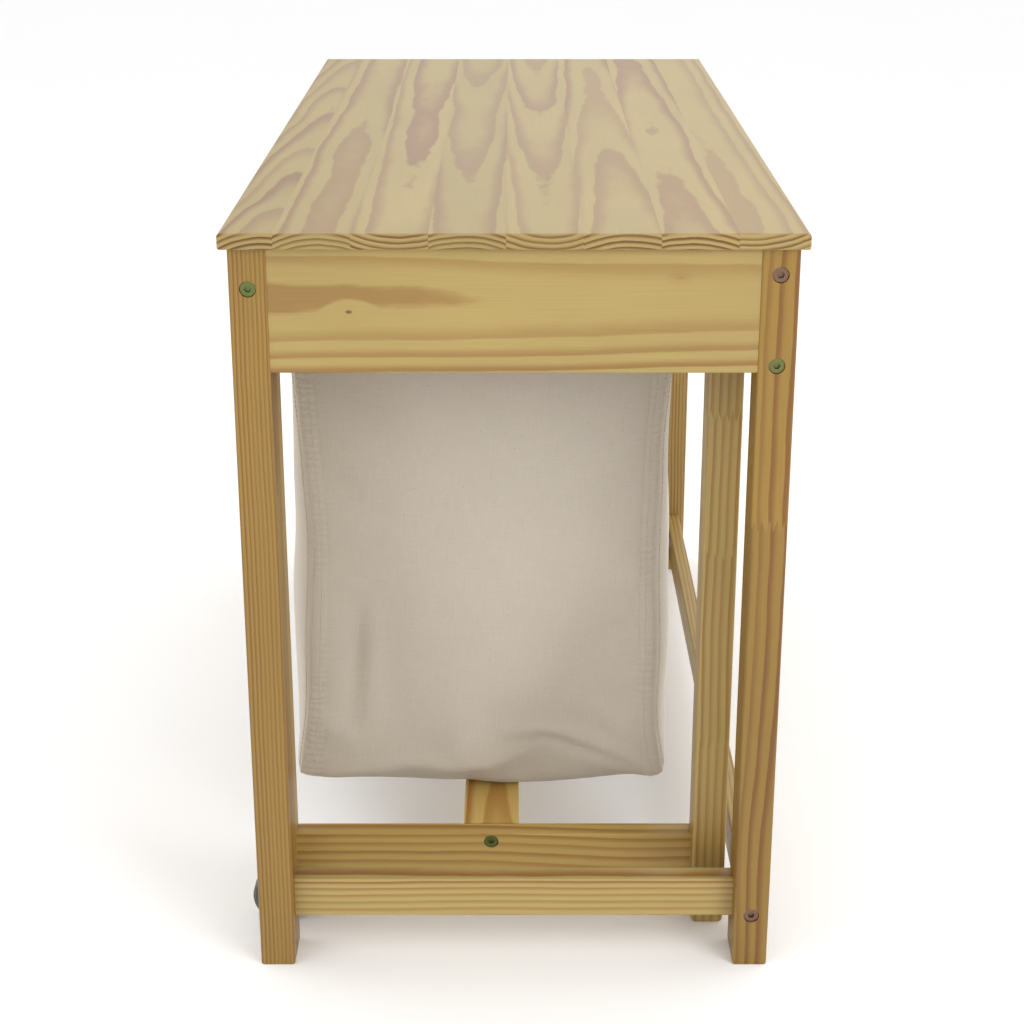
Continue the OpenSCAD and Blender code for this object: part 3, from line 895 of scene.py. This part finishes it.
# panel side, ends of the fold as (share of the width, share of the height), width, height
FOLDS = (
    (-1, (0.12, 0.085), (0.90, 0.030), 0.011, 0.0050),
    (-1, (0.28, 0.050), (0.82, 0.010), 0.010, -0.0045),
    (-1, (-0.64, 0.12), (-0.62, 0.40), 0.012, 0.0036),
    (-1, (-0.74, 0.13), (-0.71, 0.38), 0.011, -0.0032),
    (-1, (-0.82, 0.99), (-0.48, 0.80), 0.026, -0.0060),
    (-1, (-0.95, 0.72), (-0.60, 0.64), 0.018, -0.0028),
    (-1, (0.97, 0.50), (0.66, 0.44), 0.011, 0.0028),
    (-1, (0.98, 0.38), (0.70, 0.34), 0.009, -0.0024),
    (-1, (0.98, 0.27), (0.62, 0.20), 0.011, 0.0030),
    (-1, (-0.97, 0.16), (-0.70, 0.07), 0.012, 0.0034),
    (-1, (0.55, 0.16), (0.97, 0.09), 0.012, 0.0030),
    (1, (-0.15, 0.09), (-0.90, 0.03), 0.012, 0.0048),
    (1, (0.60, 0.12), (0.64, 0.42), 0.012, 0.0036),
    (1, (0.80, 0.98), (0.45, 0.82), 0.024, -0.0050),
    (1, (-0.97, 0.45), (-0.66, 0.38), 0.011, 0.0028),
)
# share of the width, how far the bottom edge rises there, and over what share
HEM_LINE = ((0.92, -0.0065, 0.07), (0.70, 0.0050, 0.13), (0.05, -0.0030, 0.25),
            (-0.45, 0.0030, 0.18), (-0.85, -0.0020, 0.12))


def crease(piece, node):
    """Presses soft folds into the cloth and draws out the bottom corners."""
    lo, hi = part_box(node)
    rim, wall, mid_y = piece["rim"], piece["wall"], piece["mid_y"]
    half_x, mid_x, tall = (hi.x - lo.x) / 2, (hi.x + lo.x) / 2, rim - lo.z
    flat = piece.data.attributes["flat"].data
    for point in piece.data.vertices:
        home = flat[point.index].vector
        if home.z > rim:
            continue
        s, up = (home.x - mid_x) / half_x, (home.z - lo.z) / tall
        t = (home.y - mid_y) / wall
        low = max(0.0, 1 - up / 0.16) ** 1.5
        point.co.x += math.copysign(1, s) * 0.011 * low * abs(s) ** 3 * (0.35 + 0.65 * t * t)
        point.co.z += sum(rise * math.exp(-(((s * math.copysign(1, -t)) - at) / span) ** 2)
                          for at, rise, span in HEM_LINE) * max(0.0, 1 - up / 0.09) * abs(t) ** 6
        if abs(t) < 0.999:
            continue
        here = Vector((home.x - mid_x, home.z - lo.z, 0.0))
        for side, start, end, width, height in FOLDS:
            if side * t < 0:
                continue
            a = Vector((start[0] * half_x, start[1] * tall, 0.0))
            b = Vector((end[0] * half_x, end[1] * tall, 0.0))
            share = max(0.0, min(1.0, (here - a).dot(b - a) / (b - a).length_squared))
            off = (here - a.lerp(b, share)).length
            fade = math.sin(math.pi * (0.12 + 0.76 * share))
            point.co.y += side * height * math.exp(-((off / width) ** 2)) * fade


class ClothLookup:
    """Finds where a point of the flat cloth has come to hang."""

    def __init__(self, piece, long_side):
        mesh = piece.data
        mesh.calc_loop_triangles()
        flat = mesh.attributes["flat"].data
        self.axis = 0 if long_side else 1
        level = 1 - self.axis
        self.faces = []
        for tri in mesh.loop_triangles:
            points = [flat[i].vector.copy() for i in tri.vertices]
            across = [p[level] for p in points]
            upright = max(p.z for p in points) - min(p.z for p in points) > 1e-5
            if upright and max(across) - min(across) < 1e-4:
                self.faces.append(
                    (points, [mesh.vertices[i].co.copy() for i in tri.vertices], across[0]))

    def wall(self, level):
        """The tree of the panel whose flat place is at that level, and its triangles."""
        corners, polys, kept = [], [], []
        for points, real, at in self.faces:
            if abs(at - level) < 1e-3:
                start = len(corners)
                corners += [Vector((p[self.axis], p.z, 0.0)) for p in points]
                polys.append((start, start + 1, start + 2))
                kept.append((corners[start:start + 3], real))
        return BVHTree.FromPolygons(corners, polys), kept

    @staticmethod
    def find(wall, a, b):
        """The hanging point and the outward direction of a flat point."""
        tree, kept = wall
        spot = Vector((a, b, 0.0))
        home, real = kept[tree.find_nearest(spot)[2]]
        point = geometry.barycentric_transform(spot, *home, *real)
        return point, (real[1] - real[0]).cross(real[2] - real[0]).normalized()


def one_stitch(length):
    """One lock stitch: a short round thread whose ends dip into the cloth."""
    deselect()
    bpy.ops.mesh.primitive_cylinder_add(
        vertices=6, radius=0.00042, depth=length, location=(0, 0, 0), rotation=(0, math.pi / 2, 0))
    piece = bpy.context.object
    bpy.ops.object.transform_apply(location=True, rotation=True, scale=True)
    bpy.ops.object.mode_set(mode="EDIT")
    for side in (-1, 1):
        pick(piece, "faces", lambda f: f.normal.x * side > 0.9)
        bpy.ops.mesh.extrude_region_move(
            TRANSFORM_OT_translate={"value": (side * length * 0.16, 0, -0.00045)})
        bpy.ops.transform.resize(value=(0.6, 0.6, 0.6))
    bpy.ops.object.mode_set(mode="OBJECT")
    mesh = piece.data
    points = np.array([v.co for v in mesh.vertices])
    faces = [tuple(p.vertices) for p in mesh.polygons]
    bpy.data.objects.remove(piece)
    return points, faces


def sew(name, lines, length):
    """Runs stitches along lines of (point, outward direction)."""
    shape, faces = one_stitch(length * 0.62)
    all_points, all_faces = [], []
    for line in lines:
        for (here, out), (there, _) in zip(line[:-1], line[1:]):
            run = (there - here).normalized()
            over = out.cross(run).normalized()
            up = run.cross(over)
            turn = np.array((run, over, up)).T
            centre = (here + there) / 2
            start = sum(len(p) for p in all_points)
            all_points.append(shape @ turn.T + np.array(centre))
            all_faces += [tuple(i + start for i in f) for f in faces]
    mesh = bpy.data.meshes.new(name)
    mesh.from_pydata(np.vstack(all_points).tolist(), [], all_faces)
    piece = bpy.data.objects.new(name, mesh)
    bpy.context.scene.collection.objects.link(piece)
    make_active(piece)
    bpy.ops.object.shade_smooth()
    return piece


def raise_bands(piece, node):
    """Doubles the cloth down each corner seam, along the hems and under the sleeves."""
    looks = bpy.context.scene.canvas_looks
    lo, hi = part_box(node)
    rim, wall, mid_y = piece["rim"], piece["wall"], piece["mid_y"]
    make_active(piece)
    bpy.ops.object.mode_set(mode="EDIT")
    shape = bmesh.from_edit_mesh(piece.data)
    layer = shape.verts.layers.float_vector["flat"]
    left, right = lo.x + looks.seam + 0.001, hi.x - looks.seam - 0.001

    def on_band(face):
        spots = [v[layer] for v in face.verts]
        mid = sum(spots, Vector()) / len(spots)
        long_wall = abs(abs(mid.y - mid_y) - wall) < 1e-4
        if mid.z > rim + 0.004:
            return False
        if long_wall and (mid.x < left or mid.x > right) and mid.z > lo.z + 0.002:
            return True
        return (not long_wall) and mid.z > rim - 0.019

    pick(piece, "faces", on_band)
    bpy.ops.mesh.extrude_region_shrink_fatten(
        TRANSFORM_OT_shrink_fatten={"value": 0.0009})
    bpy.ops.object.mode_set(mode="OBJECT")


def thicken(piece):
    looks = bpy.context.scene.canvas_looks
    make_active(piece)
    wall = piece.modifiers.new("cloth", "SOLIDIFY")
    wall.thickness, wall.offset = looks.cloth, 0.0
    bpy.ops.object.modifier_apply(modifier="cloth")
    bpy.ops.object.shade_smooth_by_angle(angle=math.radians(38))


def seam_lines(piece, node):
    """Where the stitching runs: corner seams, hems, and under each sleeve."""
    looks = bpy.context.scene.canvas_looks
    lo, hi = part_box(node)
    rim, wall, mid_y = piece["rim"], piece["wall"], piece["mid_y"]
    band, proud = 0.0009, looks.cloth / 2 + 0.00015
    lines = []

    def run(panel, start, end, rise):
        gap = Vector(end) - Vector(start)
        count = int(gap.length / looks.stitch)
        line = []
        for k in range(count):
            spot = Vector(start) + gap * (k / count)
            point, out = ClothLookup.find(panel, spot.x, spot.y)
            line.append((point + out * rise, out))
        lines.append(line)

    long_walls, short_walls = ClothLookup(piece, True), ClothLookup(piece, False)
    for side in (-1, 1):
        panel = long_walls.wall(mid_y + side * wall)
        for x in (lo.x + 0.0045, lo.x + looks.seam - 0.002, hi.x - 0.0045,
                  hi.x - looks.seam + 0.002):
            run(panel, (x, lo.z + 0.010), (x, rim - 0.002), proud + band)
        for z in (rim - 0.012, rim - 0.006):
            run(panel, (lo.x + looks.seam + 0.004, z), (hi.x - looks.seam - 0.004, z), proud)
    for x in (lo.x + looks.cloth / 2, hi.x - looks.cloth / 2):
        panel = short_walls.wall(x)
        for z in (rim - 0.0035, rim - 0.0155):
            run(panel, (mid_y - wall + 0.007, z), (mid_y + wall - 0.007, z), proud + band)
        for side in (-1, 1):
            y = mid_y + side * (wall - 0.006)
            run(panel, (y, lo.z + 0.010), (y, rim - 0.022), proud)
    return lines


def settle(piece, shift, seed):
    """Moves a copy to its own rods and lets its cloth lie a little differently."""
    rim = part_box("bag_right")[1].z - 0.03
    for point in piece.data.vertices:
        co = point.co
        free = max(0.0, min(1.0, (rim - co.z) / 0.15))
        away = Vector((co.x * 6, (co.y + shift.y) * 6, co.z * 5 + seed))
        co.x += noise.noise(away) * 0.0045 * free
        co.y += noise.noise(away + Vector((9, 4, 2))) * 0.0018 * free
        co.z += noise.noise(away + Vector((3, 8, 5))) * 0.003 * free
        point.co = co + shift


def hang_up(piece, name, looks_of_it):
    """Names a finished piece of a bag and lets it ride with the cart."""
    piece.name = piece.data.name = name
    piece.data.materials.clear()
    piece.data.materials.append(looks_of_it)
    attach(piece, "cart")


class SORTER_OT_bags(bpy.types.Operator):
    """Sews the three canvas bags and hangs them on their rods"""

    bl_idname = "sorter.bags"
    bl_label = "Canvas bags"

    def execute(self, context):
        looks = context.scene.canvas_looks
        bag = bag_blank("bag", "bag_right", "bag_rod_1")
        slacken(bag, "bag_right", 0.9)
        hang(bag)
        finer(bag)
        crease(bag, "bag_right")
        lines = seam_lines(bag, "bag_right")
        raise_bands(bag, "bag_right")
        thicken(bag)
        seams = sew("seams", lines, looks.stitch)
        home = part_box("bag_right")[0]
        cloth, thread = canvas(), thread_finish()
        copies = []
        for number, node in enumerate(("bag_middle", "bag_left")):
            for piece, ending, finish in ((bag, "cloth", cloth), (seams, "stitching", thread)):
                make_active(piece)
                bpy.ops.object.duplicate(linked=False)
                copy = context.object
                settle(copy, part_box(node)[0] - home, 2.6 + 1.7 * number)
                copies.append((copy, node, ending, finish))
        copies += [(bag, "bag_right", "cloth", cloth), (seams, "bag_right", "stitching", thread)]
        for piece, node, ending, finish in copies:
            hang_up(piece, f"{node}_{ending}", finish)
            if ending == "cloth":
                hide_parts(node)
        return {"FINISHED"}


# ---------------------------------------------------------------- stage


# stage, in metres
FLOOR_SIZE = 24.0
FLOOR_DROP = 0.0002
AIM_HEIGHT = 0.35
CAMERA_X = 0.003
CAMERA_BACK = 1.6164
CAMERA_HEIGHT = 1.1351
# upward shift of the lens, as a share of the sensor's width
CAMERA_SHIFT = -0.10
# in millimetres
SENSOR_WIDTH = 36.0
# name, place and size in metres, power in watts
LIGHTS = (
    ("key light", (2.2, -2.6, 1.9), 1.6, 40.0),
    ("fill light", (-2.4, -1.6, 1.6), 2.4, 10.0),
    ("left light", (-2.6, 0.3, 0.9), 1.8, 16.0),
    ("right light", (2.6, 0.6, 0.9), 1.8, 14.0),
    ("rim light", (0.6, 2.6, 2.4), 2.4, 8.0),
)


class SORTER_OT_stage(bpy.types.Operator):
    """Lays the floor, sets the soft lights and places the camera"""

    bl_idname = "sorter.stage"
    bl_label = "Floor, lights and camera"

    def execute(self, context):
        looks = context.scene.stage_looks
        lo, hi = CAD_BOX
        mid = (lo + hi) / 2
        deselect()
        bpy.ops.mesh.primitive_plane_add(
            size=FLOOR_SIZE, location=(mid.x, mid.y, lo.z - FLOOR_DROP)
        )
        floor = context.object
        floor.name = "studio_floor"
        bpy.ops.object.transform_apply(location=True, rotation=True, scale=True)
        paper = Finish("studio paper")
        x, y = paper.place()[:2]
        haze = paper.noise(x * 0.002, y * 0.002, 0.0, detail=2.0)
        tone = (haze - 0.5) * 0.015 + 1.0
        paper.surface({
            "Base Color": paper.blend(1.0, tuple(looks.floor), paper.grey(tone), "MULTIPLY"),
            "Roughness": 0.9,
            "Specular IOR Level": 0.1,
        })
        floor.data.materials.append(paper.material)

        world = bpy.data.worlds.new("soft studio")
        world.use_nodes = True
        world.node_tree.nodes["Background"].inputs[0].default_value = (1.0, 1.0, 1.0, 1.0)
        world.node_tree.nodes["Background"].inputs[1].default_value = looks.ambient
        context.scene.world = world
        for name, spot, size, power in LIGHTS:
            bpy.ops.object.light_add(type="AREA", location=spot)
            lamp = context.object
            lamp.name = name
            lamp.data.size = size
            lamp.data.energy = power
            aim = Vector((mid.x, mid.y, AIM_HEIGHT)) - Vector(spot)
            lamp.rotation_euler = aim.to_track_quat("-Z", "Y").to_euler()

        bpy.ops.object.camera_add(
            location=(CAMERA_X, lo.y - CAMERA_BACK, CAMERA_HEIGHT),
            rotation=(math.pi / 2 - looks.pitch, 0.0, 0.0),
        )
        camera = context.object
        camera.data.sensor_width = SENSOR_WIDTH
        camera.data.lens = looks.lens
        camera.data.shift_y = CAMERA_SHIFT
        context.scene.camera = camera
        context.scene.view_settings.view_transform = "Standard"
        return {"FINISHED"}


OPERATORS = (
    SORTER_OT_tabletop,
    SORTER_OT_table_frame,
    SORTER_OT_cart_frame,
    SORTER_OT_rods,
    SORTER_OT_hardware,
    SORTER_OT_wheels,
    SORTER_OT_bags,
    SORTER_OT_stage,
)


class SORTER_PT_panel(bpy.types.Panel):
    """Lists the steps that finish the sorter"""

    bl_idname = "SORTER_PT_panel"
    bl_label = "Laundry sorter"
    bl_space_type = "VIEW_3D"
    bl_region_type = "UI"
    bl_category = "Sorter"

    def draw(self, context):
        for operator in OPERATORS:
            self.layout.operator(operator.bl_idname)


GROUPS = {"pine_looks": PineLooks, "canvas_looks": CanvasLooks, "stage_looks": StageLooks}


def register():
    for name, group in GROUPS.items():
        bpy.utils.register_class(group)
        setattr(bpy.types.Scene, name, bpy.props.PointerProperty(type=group))
    for part in (*OPERATORS, SORTER_PT_panel):
        bpy.utils.register_class(part)


def unregister():
    for part in (SORTER_PT_panel, *reversed(OPERATORS)):
        bpy.utils.unregister_class(part)
    for name, group in reversed(GROUPS.items()):
        delattr(bpy.types.Scene, name)
        bpy.utils.unregister_class(group)


def main():
    register()
    bpy.ops.sorter.tabletop()
    bpy.ops.sorter.table_frame()
    bpy.ops.sorter.cart_frame()
    bpy.ops.sorter.rods()
    bpy.ops.sorter.hardware()
    bpy.ops.sorter.wheels()
    bpy.ops.sorter.bags()
    bpy.ops.sorter.stage()


if __name__ == "__main__":
    main()
